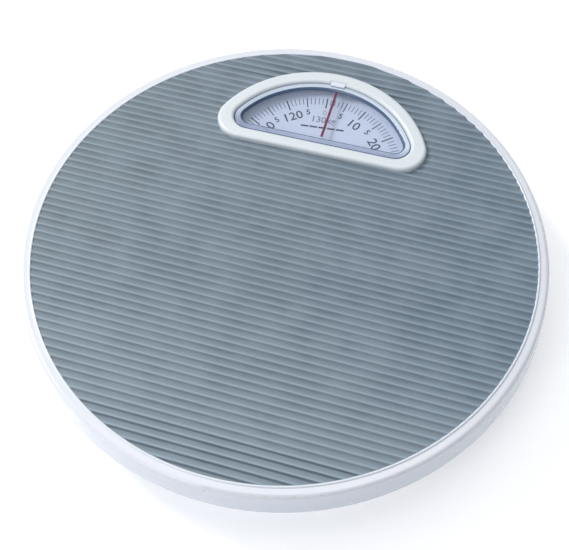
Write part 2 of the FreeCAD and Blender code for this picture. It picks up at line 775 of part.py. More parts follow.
def make_rack():
    """Flat rack: teeth beside the pinion, then a bar jogged clear of the main spring."""
    body = new_body("rack", z="Dims.rack_bottom")
    module = value("Dims.gear_module")
    pitch = math.pi * module
    middle = value("Dims.dial_y")
    pitch_x = -module * value("Dims.gear_teeth") / 2
    tip_x = pitch_x + 0.8 * module
    root_x = pitch_x - 1.2 * module
    half_pitch_width = pitch / 4 - TOOTH_BACKLASH / 2
    front = value("Dims.rack_front")
    tip_half = half_pitch_width - (tip_x - pitch_x) * PRESSURE_SLOPE
    root_half = half_pitch_width + (pitch_x - root_x) * PRESSURE_SLOPE
    outline = [(-7, front), (root_x, front)]
    for tooth in range(-2, 12):
        centre = middle + pitch * (tooth + 0.5)
        outline += [
            (root_x, centre - root_half), (tip_x, centre - tip_half),
            (tip_x, centre + tip_half), (root_x, centre + root_half),
        ]
    slot_y = value("Dims.crank_y + (%s) * sin(Dims.crank_half_turn)" % LONG_ARM)
    bar = value("Dims.crank_x")
    jog_front = 67
    jog_back = 71
    half_bar = 2.8
    outline += [
        (root_x, jog_back), (bar + half_bar, jog_back), (bar + half_bar, slot_y + 4),
        (bar - half_bar, slot_y + 4), (bar - half_bar, jog_front), (-7, jog_front),
    ]
    sketch = new_sketch(body, "XY_Plane")
    draw_polygon(sketch, outline)
    pad(body, sketch, "Dims.rack_sheet")
    slot = new_sketch(body, "XY_Plane")
    half_x = value("Dims.crank_sheet / 2") + 0.2
    half_y = value("Dims.tip_radius") + 0.12
    draw_polygon(slot, [
        (bar - half_x, slot_y - half_y), (bar + half_x, slot_y - half_y),
        (bar + half_x, slot_y + half_y), (bar - half_x, slot_y + half_y),
    ])
    pocket(body, slot, both_ways=True)
    peg = new_sketch(body, "XZ_Plane", "-Dims.rack_front")
    draw_circle(peg, "Dims.post_x", "Dims.rack_sheet / 2", 0.7)
    pad(body, peg, 3)


def make_pinion_spindle():
    """Spindle with its ten pinion teeth cut in the solid."""
    body = new_body("pinion_spindle", 0, "Dims.dial_y", 23.4)
    tall = 17.6
    chamfer = 0.3
    tip = "Dims.spindle_radius - %g" % chamfer
    revolve(body, [
        (0, 0), (tip, 0), ("Dims.spindle_radius", chamfer), ("Dims.spindle_radius", tall - chamfer),
        (tip, tall), (0, tall),
    ])
    module = value("Dims.gear_module")
    count = int(value("Dims.gear_teeth"))
    pitch_radius = module * count / 2
    root_radius = pitch_radius - 1.15 * module
    tip_radius = pitch_radius + 0.8 * module
    half_width = math.pi * module / 4 - TOOTH_BACKLASH / 2
    steps = [
        (root_radius, half_width * 0.92), (pitch_radius * 0.94, half_width),
        (pitch_radius, half_width * 0.96), (pitch_radius + 0.45 * module, half_width * 0.66),
        (tip_radius, half_width * 0.36),
    ]
    outline = []
    for tooth in range(count):
        facing = 2 * math.pi * tooth / count
        flank = [(radius, facing - width / radius) for radius, width in steps]
        flank += [(radius, facing + width / radius) for radius, width in reversed(steps)]
        outline += [(radius * math.cos(turn), radius * math.sin(turn)) for radius, turn in flank]
    teeth = new_sketch(body, "XY_Plane", 8.4)
    draw_polygon(teeth, outline)
    pad(body, teeth, 2.8)


def make_dial():
    hub_bottom = 35.0
    hub = new_body("dial_hub", 0, "Dims.dial_y", hub_bottom)
    bore = "Dims.spindle_radius"
    face = "Dims.dial_bottom - %g" % hub_bottom
    flange = face + " - 1.0"
    revolve(hub, [(bore, 0), (4, 0), (4, flange), (12, flange), (12, face), (bore, face)])
    disc = new_body("dial_disc", 0, "Dims.dial_y", "Dims.dial_bottom")
    edge = "Dims.dial_radius"
    revolve(disc, [(bore, 0), (edge, 0), (edge, "Dims.dial_sheet"), (bore, "Dims.dial_sheet")])
    nut = new_body("dial_nut", 0, "Dims.dial_y", "Dims.dial_bottom + Dims.dial_sheet")
    revolve(nut, [(bore, 0), (3, 0), (3, 0.9), (2.2, 1.4), (bore, 1.4)])


def make_dial_bridge():
    """Bridge over the pan that carries the dial's bush."""
    body = new_body("dial_bridge", 0, "Dims.dial_y", "Dims.floor")
    top = "Dims.bridge_top"
    metal = "Dims.bracket_sheet"
    under = top + " - " + metal
    sketch = new_sketch(body, "XZ_Plane")
    draw_polygon(sketch, [
        (-20, 0), (-10.5, 0), (-10.5, under), (10.5, under), (10.5, 0), (20, 0), (20, metal),
        (12, metal), (12, top), (-12, top), (-12, metal), (-20, metal),
    ])
    pad(body, sketch, 20, symmetric=True)
    bores = new_sketch(body, "XY_Plane")
    draw_circle(bores, 0, 0, 3)
    for x, y in BRIDGE_RIVETS:
        draw_circle(bores, x, "%s - Dims.dial_y" % y, "Dims.rivet_radius")
    pocket(body, bores, both_ways=True)


def make_spindle_bush():
    body = new_body("spindle_bush", 0, "Dims.dial_y", 24)
    bore = "Dims.spindle_radius + Dims.pin_clearance"
    revolve(body, [(bore, 0), (3, 0), (3, 6.5), (4.5, 6.5), (4.5, 7.5), (bore, 7.5)])


def make_rack_guide():
    """C guide that holds the rack's plain edge on the bridge."""
    body = new_body("rack_guide", 0, "Dims.dial_y - 5", "Dims.guide_bottom")
    sketch = new_sketch(body, "XZ_Plane")
    draw_polygon(sketch, [
        (-9.7, 0), (-5, 0), (-5, 2.0), (-7.2, 2.0), (-7.2, 3.9), (-5, 3.9), (-5, 5.0), (-9.7, 5.0),
    ])
    pad(body, sketch, 10, symmetric=True)


def make_return_post():
    """Angle bracket that anchors the rack's return spring."""
    body = new_body("return_spring_post", "Dims.post_x", "Dims.post_y", "Dims.floor")
    sketch = new_sketch(body, "YZ_Plane")
    face = "5 - Dims.bracket_sheet"
    draw_polygon(sketch, [(-4, 0), (5, 0), (5, "Dims.post_tall"), (face, "Dims.post_tall"),
                          (face, "Dims.bracket_sheet"), (-4, "Dims.bracket_sheet")])
    pad(body, sketch, 8, symmetric=True)
    hole = new_sketch(body, "XY_Plane")
    draw_circle(hole, 0, 0, "Dims.rivet_radius")
    pocket(body, hole, 4, both_ways=True)
    peg = new_sketch(body, "XZ_Plane", -5)
    draw_circle(peg, 0, "Dims.rack_bottom + Dims.rack_sheet / 2 - Dims.floor", 1.4)
    pad(body, peg, 4).Reversed = True
    doc.recompute()


def make_pointer():
    line = doc.addObject("Part::Box", "pointer_line")
    line.Label = "pointer_line"
    line.setExpression("Length", "Dims.pointer_width")
    line.setExpression("Width", "Dims.pointer_length")
    line.setExpression("Height", "Dims.pointer_thick")
    place(line, "-Dims.pointer_width / 2", "Dims.pointer_front", "Dims.lens_bottom - Dims.pointer_thick")
    subparts.append(line)


def make_lens_tab():
    lens_top = "Dims.lens_bottom + Dims.lens_thick"
    body = new_body("lens_tab", 0, "Dims.window_y + Dims.opening_radius", lens_top)
    sketch = new_sketch(body, "XY_Plane")
    wide = "(Dims.tab_half + Dims.tab_flare)"
    draw_polygon(sketch, [("-Dims.tab_half", "Dims.tab_front"), ("Dims.tab_half", "Dims.tab_front"),
                          (wide, "Dims.tab_back"), ("-" + wide, "Dims.tab_back")])
    pad(body, sketch, "Dims.tab_thick")


# ---------------------------------------------------------------- the whole scale
make_base_pan()
for name, (side, end) in CORNERS.items():
    make_foot("foot_" + name, side, end)
    channel("fulcrum_bracket_" + name, "%d * Dims.corner_x" % side, "%d * Dims.fulcrum_y" % end,
            "Dims.pin_half", "Dims.fulcrum_tall", "Dims.bracket_depth", "Dims.pivot_z - Dims.floor",
            "Dims.pin_radius + Dims.pin_clearance")
    make_load_post("load_post_" + name, side, end)
    corner_x = "%d * Dims.corner_x" % side
    pins("lever_pins_" + name, [(corner_x, "%d * Dims.fulcrum_y" % end, "Dims.pivot_z"),
                                (corner_x, "%d * Dims.load_y" % end, "Dims.pivot_z")],
         "Dims.pin_radius", "Dims.pin_half")
for name, side in SIDES.items():
    make_lever("long_lever_" + name, side, -1, LONG_PLAN, LONG_PROFILE, "Dims.pivot_z")
    make_lever("short_lever_" + name, side, 1, SHORT_PLAN, SHORT_PROFILE, "Dims.pivot_z")
    retainer_x = "%d * Dims.retainer_x" % side
    coil_spring("retainer_spring_" + name, "retainer", retainer_x, 0, "Dims.retainer_bottom")
make_rivets()
make_stud("retainer_studs_lower", ("Dims.floor", "Dims.floor + 5"))
make_stud("retainer_studs_upper", ("Dims.mat_base - Dims.sheet - 5", "Dims.mat_base - Dims.sheet"))

make_platform_shell()
make_tread_mat()
make_window_bezel()
make_lens()
make_lens_tab()
make_pointer()

make_yoke_plate()
make_calibration_screws()
make_spring_plug("spring_plug_lower", "Dims.yoke_top", 5)
make_spring_plug("spring_plug_upper", "Dims.hinge_z - 0.8 - 4.5", 4.5)
coil_spring("main_spring", "main", 0, "Dims.spring_y", "Dims.main_bottom")

channel("spring_tower", 0, "Dims.hinge_y", "Dims.tower_half", "Dims.tower_tall", "Dims.tower_depth",
        "Dims.hinge_z - Dims.floor", "Dims.small_pin")
pins("zero_lever_pin", [(0, "Dims.hinge_y", "Dims.hinge_z")], "Dims.small_pin", "Dims.tower_half")
make_zero_lever()
make_zero_nut()
make_zero_knob()
make_zero_screw()
make_knob_socket()

crank_half = "Dims.crank_bracket_half"
channel("crank_bracket", "Dims.crank_x", "Dims.crank_y", crank_half, "Dims.crank_bracket_tall",
        "Dims.bracket_depth", "Dims.crank_z - Dims.floor", "Dims.small_pin")
pins("crank_pin", [("Dims.crank_x", "Dims.crank_y", "Dims.crank_z")], "Dims.small_pin", crank_half)
make_crank()
make_rack()
coil_spring("rack_return_spring", "return", "Dims.post_x", "Dims.return_front",
            "Dims.rack_bottom + Dims.rack_sheet / 2", lying=True)
make_return_post()

make_dial_bridge()
make_spindle_bush()
make_rack_guide()
make_pinion_spindle()
make_dial()

# ---------------------------------------------------------------- checks and export
doc.recompute()
for item in doc.Objects:
    if "Invalid" in item.State or "Error" in item.State:
        raise RuntimeError("%s is %s" % (item.Label, item.State))
for part in subparts:
    if part.Shape.isNull() or not part.Shape.isValid():
        raise RuntimeError("%s has no valid shape" % part.Label)
for part in subparts:
    part.Shape.exportStep("parts/%s.step" % part.Label)
print("%d sub-parts written" % len(subparts))
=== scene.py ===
"""Looks of the round mechanical bathroom scale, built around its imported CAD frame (metres, +Z up)."""
import json
import math

import bpy
from mathutils import Matrix, Vector


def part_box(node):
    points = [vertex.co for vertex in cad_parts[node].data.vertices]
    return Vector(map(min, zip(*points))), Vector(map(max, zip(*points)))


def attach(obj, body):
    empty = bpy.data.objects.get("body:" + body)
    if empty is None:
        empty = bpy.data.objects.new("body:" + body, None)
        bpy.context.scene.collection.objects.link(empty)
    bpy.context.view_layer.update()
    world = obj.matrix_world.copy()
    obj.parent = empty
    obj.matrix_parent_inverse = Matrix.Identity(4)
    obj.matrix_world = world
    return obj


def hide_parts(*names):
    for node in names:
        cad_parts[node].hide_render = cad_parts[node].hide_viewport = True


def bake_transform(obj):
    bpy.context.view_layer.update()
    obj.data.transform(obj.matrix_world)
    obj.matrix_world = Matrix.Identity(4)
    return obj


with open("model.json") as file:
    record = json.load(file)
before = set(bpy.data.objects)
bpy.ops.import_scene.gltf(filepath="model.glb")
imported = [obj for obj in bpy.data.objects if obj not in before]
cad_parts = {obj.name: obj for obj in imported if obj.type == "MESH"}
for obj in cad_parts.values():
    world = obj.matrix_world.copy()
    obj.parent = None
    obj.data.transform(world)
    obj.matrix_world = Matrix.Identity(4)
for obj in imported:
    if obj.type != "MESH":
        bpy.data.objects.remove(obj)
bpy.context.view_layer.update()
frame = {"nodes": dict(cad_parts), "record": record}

nodes = frame["nodes"]
MM = 0.001

# ---------------------------------------------------------------- places taken from the frame
mat_low, mat_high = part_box("tread_mat")
MAT_RADIUS = mat_high.x
MAT_TOP = mat_high.z
_, bezel_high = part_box("window_bezel")
dial_low, dial_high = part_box("dial_disc")
DIAL_CENTRE = Vector(((dial_low.x + dial_high.x) / 2, (dial_low.y + dial_high.y) / 2, dial_high.z))

# window outline: an arc about its own centre, closed by a straight front edge, slightly turned
WINDOW_Y = 52.0 * MM
WINDOW_TURN = math.radians(0.9)
BEZEL_RADIUS = bezel_high.y - WINDOW_Y
BEZEL_FRONT = 57.25 * MM
OPENING_RADIUS = 52.9 * MM
OPENING_FRONT = 63.8 * MM
BEZEL_CORNER = 13.5 * MM
OPENING_CORNER = 8.5 * MM
ARC_STEPS = 96
CORNER_STEPS = 12


# ---------------------------------------------------------------- camera and light
CAMERA_AZIMUTH = math.radians(17.932)
CAMERA_ELEVATION = math.radians(58.993)
CAMERA_ROLL = math.radians(-1.742)
CAMERA_DISTANCE = 4.2310 * MAT_RADIUS
CAMERA_RIGHT = 0.0041 * MAT_RADIUS
CAMERA_DOWN = 0.1261 * MAT_RADIUS
CAMERA_LENS = 67.36
FLOOR_SIZE = 60


def make_camera():
    """Camera aimed at the middle of the mat's top, then shifted and rolled a little."""
    azimuth, elevation, roll = CAMERA_AZIMUTH, CAMERA_ELEVATION, CAMERA_ROLL
    back = Vector((math.sin(azimuth) * math.cos(elevation), -math.cos(azimuth) * math.cos(elevation),
                   math.sin(elevation)))
    level = Vector((math.cos(azimuth), math.sin(azimuth), 0))
    up = back.cross(level)
    right = level * math.cos(roll) + up * math.sin(roll)
    up = up * math.cos(roll) - level * math.sin(roll)
    data = bpy.data.cameras.new("camera")
    data.lens = CAMERA_LENS
    data.sensor_width = 36
    data.clip_start = 0.01
    camera = bpy.data.objects.new("camera", data)
    place = back * CAMERA_DISTANCE + right * CAMERA_RIGHT - up * CAMERA_DOWN + Vector((0, 0, MAT_TOP))
    camera.matrix_world = Matrix.Translation(place) @ Matrix((right, up, back)).transposed().to_4x4()
    bpy.context.scene.collection.objects.link(camera)
    bpy.context.scene.camera = camera


def area_light(name, place, target, size, power, colour):
    """Round soft light at place, facing target."""
    data = bpy.data.lights.new(name, "AREA")
    data.shape = "DISK"
    data.size = size
    data.energy = power
    data.color = colour
    lamp = bpy.data.objects.new(name, data)
    lamp.location = place
    lamp.rotation_euler = (Vector(target) - Vector(place)).to_track_quat("-Z", "Y").to_euler()
    bpy.context.scene.collection.objects.link(lamp)


def make_studio():
    """White studio: a sky that is brighter on the left, as from a broad softbox, and three soft lights."""
    world = bpy.data.worlds.new("studio")
    world.use_nodes = True
    tree = world.node_tree
    sky = tree.nodes["Background"]
    sky.inputs["Color"].default_value = (0.93, 0.96, 1.0, 1)
    axes = tree.nodes.new("ShaderNodeSeparateXYZ")
    ramp = tree.nodes.new("ShaderNodeMapRange")
    ramp.inputs["From Min"].default_value = -0.9
    ramp.inputs["From Max"].default_value = 0.8
    ramp.inputs["To Min"].default_value = 0.74
    ramp.inputs["To Max"].default_value = 0.24
    tree.links.new(tree.nodes.new("ShaderNodeTexCoord").outputs["Generated"], axes.inputs["Vector"])
    tree.links.new(axes.outputs["X"], ramp.inputs["Value"])
    tree.links.new(ramp.outputs["Result"], sky.inputs["Strength"])
    bpy.context.scene.world = world
    bpy.context.scene.view_settings.view_transform = "Standard"
    area_light("key", (-1.1, 0.3, 1.35), (0, 0, 0), 0.5, 16, (1.0, 0.985, 0.97))
    area_light("front_fill", (-0.5, -1.3, 1.3), (0, 0, 0.02), 0.8, 5, (0.97, 0.96, 1.0))
    area_light("overhead", (-0.1, 0.1, 1.7), (0, 0, 0), 1.2, 6, (1, 1, 1))


def make_floor():
    """Plain pale floor that runs out of sight."""
    bpy.ops.mesh.primitive_plane_add(size=FLOOR_SIZE, location=(0, 0, 0))
    floor = bpy.context.object
    floor.name = "studio_floor"
    paint = bpy.data.materials.new("studio_floor")
    paint.use_nodes = True
    surface = paint.node_tree.nodes["Principled BSDF"]
    surface.inputs["Base Color"].default_value = (0.95, 0.955, 0.97, 1)
    surface.inputs["Roughness"].default_value = 0.9
    surface.inputs["Specular IOR Level"].default_value = 0.1
    surface.inputs["Emission Color"].default_value = (1, 1, 1, 1)
    surface.inputs["Emission Strength"].default_value = 0.36
    floor.data.materials.append(paint)


# ---------------------------------------------------------------- materials
RIB_PITCH = 4.193 * MM
FIRST_GROOVE = 123.48 * MM
# painted shade and highlight along one rib, from the groove in front of it to the next groove behind it:
# darkest in the grooves, a bright line just behind the crest
RIB_PAINTED_SHADE_AND_HIGHLIGHT = ((0.0, 0.47), (0.12, 0.54), (0.25, 0.75), (0.31, 0.96), (0.36, 1.0), (0.41, 0.92), (0.5, 0.78),
              (0.7, 0.69), (0.9, 0.55), (1.0, 0.47))


class Paint:
    """A Principled material whose colour, roughness and bump are built from object-space noise."""

    def __init__(self, name, colour, roughness, metallic=0.0, coat=0.0, specular=0.5):
        self.material = bpy.data.materials.new(name)
        self.material.use_nodes = True
        self.tree = self.material.node_tree
        self.surface = self.tree.nodes["Principled BSDF"]
        self.colour = colour
        self.surface.inputs["Base Color"].default_value = (*colour, 1)
        self.surface.inputs["Roughness"].default_value = roughness
        self.surface.inputs["Metallic"].default_value = metallic
        self.surface.inputs["Coat Weight"].default_value = coat
        self.surface.inputs["Coat Roughness"].default_value = 0.08
        self.surface.inputs["Specular IOR Level"].default_value = specular
        self.place = self.tree.nodes.new("ShaderNodeTexCoord").outputs["Object"]
        self.last_colour = None

    def link(self, source, target):
        self.tree.links.new(source, target)

    def noise(self, scale, detail, stretch=(1, 1, 1)):
        mapping = self.tree.nodes.new("ShaderNodeMapping")
        mapping.inputs["Scale"].default_value = stretch
        texture = self.tree.nodes.new("ShaderNodeTexNoise")
        texture.inputs["Scale"].default_value = scale
        texture.inputs["Detail"].default_value = detail
        self.link(self.place, mapping.inputs["Vector"])
        self.link(mapping.outputs["Vector"], texture.inputs["Vector"])
        return texture.outputs["Fac"]

    def spread(self, factor, low, high, to_low, to_high):
        ranged = self.tree.nodes.new("ShaderNodeMapRange")
        ranged.inputs["From Min"].default_value = low
        ranged.inputs["From Max"].default_value = high
        ranged.inputs["To Min"].default_value = to_low
        ranged.inputs["To Max"].default_value = to_high
        self.link(factor, ranged.inputs["Value"])
        return ranged.outputs["Result"]

    def tint(self, factor, other):
        """Mix the colour so far towards other where factor is high."""
        mix = self.tree.nodes.new("ShaderNodeMix")
        mix.data_type = "RGBA"
        self.link(factor, mix.inputs["Factor"])
        if self.last_colour is None:
            mix.inputs["A"].default_value = (*self.colour, 1)
        else:
            self.link(self.last_colour, mix.inputs["A"])
        mix.inputs["B"].default_value = (*other, 1)
        self.last_colour = mix.outputs["Result"]
        self.link(self.last_colour, self.surface.inputs["Base Color"])

    def axis(self, name):
        """One coordinate of the point on the object."""
        axes = self.tree.nodes.new("ShaderNodeSeparateXYZ")
        self.link(self.place, axes.inputs["Vector"])
        return axes.outputs[name]

    def upward(self):
        """How far the surface faces up or down, from the object's own normals."""
        axes = self.tree.nodes.new("ShaderNodeSeparateXYZ")
        self.link(self.tree.nodes["Texture Coordinate"].outputs["Normal"], axes.inputs["Vector"])
        return self.math("ABSOLUTE", axes.outputs["Z"])

    def math(self, operation, first, second=None):
        node = self.tree.nodes.new("ShaderNodeMath")
        node.operation = operation
        self.link(first, node.inputs[0])
        if second is not None:
            node.inputs[1].default_value = second
        return node.outputs["Value"]

    def ramp(self, factor, shades):
        """Darken or lighten the colour by a factor that follows the given (place, factor) steps."""
        node = self.tree.nodes.new("ShaderNodeFloatCurve")
        curve = node.mapping.curves[0]
        for place, shade in shades[1:-1]:
            curve.points.new(place, shade)
        for point, (place, shade) in zip(curve.points, shades):
            point.location = (place, shade)
        node.mapping.update()
        self.link(factor, node.inputs["Value"])
        mix = self.tree.nodes.new("ShaderNodeMix")
        mix.data_type = "RGBA"
        mix.blend_type = "MULTIPLY"
        mix.inputs["Factor"].default_value = 1.0
        self.link(self.last_colour, mix.inputs["A"])
        self.link(node.outputs["Value"], mix.inputs["B"])
        self.last_colour = mix.outputs["Result"]
        self.link(self.last_colour, self.surface.inputs["Base Color"])

    def vary_roughness(self, factor, low, high):
        self.link(self.spread(factor, 0.3, 0.7, low, high), self.surface.inputs["Roughness"])

    def bump(self, factor, distance, strength):
        node = self.tree.nodes.new("ShaderNodeBump")
        node.inputs["Distance"].default_value = distance
        node.inputs["Strength"].default_value = strength
        self.link(factor, node.inputs["Height"])
        self.link(node.outputs["Normal"], self.surface.inputs["Normal"])


def shade_of(colour, factor):
    """The colour made darker or lighter by a factor."""
    return tuple(min(1.0, channel * factor) for channel in colour)


def enamel(name, colour, rough=0.22, side=0.74):
    """Stove enamel: faint orange peel, a cloudy tone, duller rubbed patches, and painted shade that darkens
    upright walls.
    """
    red, green, blue = colour
    paint = Paint(name, colour, rough, coat=0.35)
    paint.tint(paint.spread(paint.noise(9, 2), 0.35, 0.7, 0, 0.5), (red * 0.965, green * 0.975, blue))
    # painted shade: upright walls turn darker and bluer than faces turned up or down, by the side factor
    paint.tint(paint.spread(paint.upward(), 0.5, 0.12, 0, 1),
               (red * side, green * side * 1.05, blue * side * 1.10))
    paint.vary_roughness(paint.noise(22, 4), rough * 0.8, rough * 1.5)
    paint.bump(paint.noise(650, 2), 0.00004, 0.35)
    return paint.material


def plastic(name, colour, rough):
    """Moulded plastic or printing ink: faint cloudy tone and a fine grain."""
    paint = Paint(name, colour, rough)
    paint.tint(paint.spread(paint.noise(14, 2), 0.35, 0.7, 0, 0.6), shade_of(colour, 0.955))
    paint.vary_roughness(paint.noise(60, 3), rough * 0.85, rough * 1.3)
    paint.bump(paint.noise(1500, 2), 0.00003, 0.4)
    return paint.material


def steel(name, colour, rough, stretch=(1, 1, 1)):
    """Plated or brushed metal with drawn lines and dull blotches."""
    paint = Paint(name, colour, rough, metallic=1.0)
    paint.tint(paint.spread(paint.noise(40, 4), 0.35, 0.7, 0, 0.8), shade_of(colour, 0.82))
    paint.vary_roughness(paint.noise(180, 4, stretch), rough * 0.7, rough * 1.5)
    paint.bump(paint.noise(900, 3, stretch), 0.00003, 0.5)
    return paint.material


def rubber(name, colour, rough):
    """Dull black rubber with a greyer bloom in patches."""
    paint = Paint(name, colour, rough, specular=0.35)
    paint.tint(paint.spread(paint.noise(35, 4), 0.35, 0.7, 0, 0.7), shade_of(colour, 1.5))
    paint.vary_roughness(paint.noise(90, 3), rough * 0.9, min(1.0, rough * 1.15))
    paint.bump(paint.noise(1100, 3), 0.00006, 0.6)
    return paint.material


def mat_vinyl():
    """Grey-blue vinyl: fine leathery grain, painted light that makes it lighter towards the front, painted
    shade that makes it darker and bluer to the right, and painted shade and highlight along each rib.
    """
    colour = (0.276, 0.342, 0.392)
    paint = Paint("ribbed_vinyl", colour, 0.42, specular=0.45)
    # painted shade: darker and bluer towards the right, away from the light on the left
    paint.tint(paint.spread(paint.axis("X"), -0.13, 0.13, 0, 0.85), (0.216, 0.300, 0.386))
    # painted light: lighter towards the front
    paint.tint(paint.spread(paint.axis("Y"), -0.02, -0.12, 0, 1), (0.318, 0.402, 0.468))
    # painted shade in the grooves and a painted highlight behind each crest, repeating with the ribs
    ribs = paint.math("DIVIDE", paint.math("SUBTRACT", paint.axis("Y"), FIRST_GROOVE), RIB_PITCH)
    paint.ramp(paint.math("FRACT", ribs), RIB_PAINTED_SHADE_AND_HIGHLIGHT)
    paint.tint(paint.spread(paint.noise(60, 4), 0.35, 0.7, 0, 0.3), shade_of(colour, 1.06))
    paint.tint(paint.spread(paint.noise(420, 3, (0.25, 1, 1)), 0.4, 0.7, 0, 0.25), shade_of(colour, 0.86))
    paint.vary_roughness(paint.noise(70, 4), 0.36, 0.52)
    paint.bump(paint.noise(1300, 3, (0.6, 1, 1)), 0.00005, 0.5)
    return paint.material


def clear_moulding(paint, alpha, cloud, dull_low, dull_high):
    """Wear that every clear moulding has: a faint cloudy tone, uneven gloss and slight waviness."""
    paint.surface.inputs["Alpha"].default_value = alpha
    paint.tint(paint.spread(paint.noise(30, 3), 0.4, 0.7, 0, 0.3), cloud)
    paint.vary_roughness(paint.noise(45, 3), dull_low, dull_high)
    paint.bump(paint.noise(120, 2), 0.00002, 0.2)
    return paint.material


def clear_plastic(name, colour, alpha, rough=0.04):
    """Clear plastic of one colour; the same recipe makes the lens's dark edge, which is painted shade."""
    paint = Paint(name, colour, rough, specular=0.6)
    return clear_moulding(paint, alpha, shade_of(colour, 0.93), rough * 0.8, rough * 2.0)


def flange_plastic():
    """Lens flange: pale, with painted shade that makes it greyer and darker along the straight front."""
    paint = Paint("lens_flange", (0.62, 0.71, 0.82), 0.10, specular=0.6)
    # painted shade: the flange turns darker and greyer along the straight front
    paint.tint(paint.spread(paint.axis("Y"), 0.074, 0.066, 0, 1), (0.28, 0.33, 0.47))
    return clear_moulding(paint, 0.82, (0.50, 0.58, 0.72), 0.08, 0.16)


def printed_dial():
    """Pale lavender printed card lacquer."""
    paint = Paint("dial_print", (0.495, 0.565, 0.715), 0.38)
    paint.tint(paint.spread(paint.noise(24, 3), 0.35, 0.7, 0, 0.6), (0.465, 0.535, 0.695))
    paint.vary_roughness(paint.noise(80, 3), 0.32, 0.46)
    paint.bump(paint.noise(2200, 2), 0.00002, 0.35)
    return paint.material


materials = {
    "enamel": enamel("white_enamel", (0.715, 0.735, 0.785)),
    "rim_lip": enamel("rim_lip", (0.74, 0.785, 0.84), 0.2, 1.0),
    "ribbed_mat": mat_vinyl(),
    "bezel": plastic("bezel_plastic", (0.69, 0.745, 0.775), 0.26),
    "lens": clear_plastic("lens_clear", (0.82, 0.88, 0.97), 0.03),
    "lens_flange": flange_plastic(),
    # painted shade: a dark, nearly opaque sheet on the lens's outer edge and steep step
    "lens_edge_painted_shade": clear_plastic("lens_edge_painted_shade", (0.06, 0.105, 0.20), 0.90, 0.12),
    "lens_tab": clear_plastic("lens_tab_clear", (0.80, 0.87, 0.93), 0.88, 0.15),
    "hairline": plastic("hairline_red", (0.150, 0.001, 0.040), 0.5),
    "pan": enamel("pan_enamel", (0.72, 0.74, 0.80), 0.30),
    "foot_rubber": rubber("foot_rubber", (0.022, 0.022, 0.025), 0.75),
    "zinc_steel": steel("zinc_plated_steel", (0.56, 0.57, 0.58), 0.34, (1, 6, 1)),
    "hard_pins": steel("ground_steel", (0.68, 0.68, 0.69), 0.20, (8, 1, 1)),
    "spring_wire": steel("spring_wire", (0.42, 0.42, 0.44), 0.28),
    "rivet_steel": steel("rivet_steel", (0.52, 0.52, 0.54), 0.36),
    "brass": steel("turned_brass", (0.68, 0.50, 0.22), 0.26, (1, 1, 8)),
    "cast_zinc": steel("die_cast_zinc", (0.50, 0.51, 0.52), 0.46),
    "dial_face": printed_dial(),
    "moulded": plastic("moulded_nylon", (0.58, 0.59, 0.60), 0.5),
    "knob": plastic("knob_plastic", (0.03, 0.03, 0.034), 0.42),
    "fine_ink": plastic("fine_ink", (0.115, 0.135, 0.22), 0.5),
    "tick_ink": plastic("tick_ink", (0.035, 0.045, 0.09), 0.5),
    "number_ink": plastic("number_ink", (0.035, 0.045, 0.09), 0.5),
    "unit_ink": plastic("unit_ink", (0.17, 0.19, 0.28), 0.5),
    "pale_ink": plastic("pale_ink", (0.30, 0.33, 0.44), 0.5),
}


def finish_cad_nodes():
    """Give every CAD node the material of its slot."""
    for part in frame["record"]["subparts"]:
        node = nodes[part["node"]]
        node.data.materials.clear()
        node.data.materials.append(materials[part["material_slot"]])


# ---------------------------------------------------------------- mesh helpers
def new_piece(name, vertices, faces, material, body, slot, smooth_angle, cad=()):
    """Mesh object that rides on a body, with edges sharper than smooth_angle degrees left sharp."""
    mesh = bpy.data.meshes.new(name)
    mesh.from_pydata([tuple(v) for v in vertices], [], faces)
    mesh.validate()
    mesh.materials.append(materials[material])
    mesh.shade_smooth()
    mesh.set_sharp_from_angle(angle=math.radians(smooth_angle))
    piece = bpy.data.objects.new(name, mesh)
    bpy.context.scene.collection.objects.link(piece)
    if body:
        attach(piece, body)
    if cad:
        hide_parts(*cad)
    return piece


def window_outline(radius, front, corner):
    """Turned D outline as points: the arc from right to left, then the rounded front corners."""
    drop = front - WINDOW_Y
    reach = radius - corner
    lift = drop + corner
    corner_x = math.sqrt(reach * reach - lift * lift)
    start = math.atan2(lift, corner_x)
    points = []
    for step in range(ARC_STEPS + 1):
        turn = start + (math.pi - 2 * start) * step / ARC_STEPS
        points.append((radius * math.cos(turn), WINDOW_Y + radius * math.sin(turn)))
    for step in range(1, CORNER_STEPS + 1):
        turn = math.pi - start + (math.pi / 2 + start) * step / CORNER_STEPS
        points.append((-corner_x + corner * math.cos(turn), front + corner + corner * math.sin(turn)))
    for step in range(CORNER_STEPS):
        turn = -math.pi / 2 + (math.pi / 2 + start) * step / CORNER_STEPS
        points.append((corner_x + corner * math.cos(turn), front + corner + corner * math.sin(turn)))
    cos, sin = math.cos(WINDOW_TURN), math.sin(WINDOW_TURN)
    return [(x * cos - (y - WINDOW_Y) * sin, WINDOW_Y + x * sin + (y - WINDOW_Y) * cos) for x, y in points]


# ---------------------------------------------------------------- ribbed mat
RIB_DEPTH = 0.95 * MM
RIB_RISE = 0.27          # share of the pitch taken by the steep front
RIB_FALL_BEND = 0.8
RIB_STEPS = 14
MAT_EDGE = MAT_RADIUS + 0.4 * MM
MAT_UNDER_BEZEL = 0.6 * MM


def ease(share):
    """Smooth step from 0 to 1."""
    return share * share * (3 - 2 * share)


def rib_height(y):
    """Mat surface at y: a short steep front to each rib, then a long fall behind it."""
    phase = ((y - FIRST_GROOVE) / RIB_PITCH) % 1.0
    if phase < RIB_RISE:
        share = ease(phase / RIB_RISE)
    else:
        share = 1 - ease((phase - RIB_RISE) / (1 - RIB_RISE)) ** RIB_FALL_BEND
    return MAT_TOP - RIB_DEPTH * (1 - share)


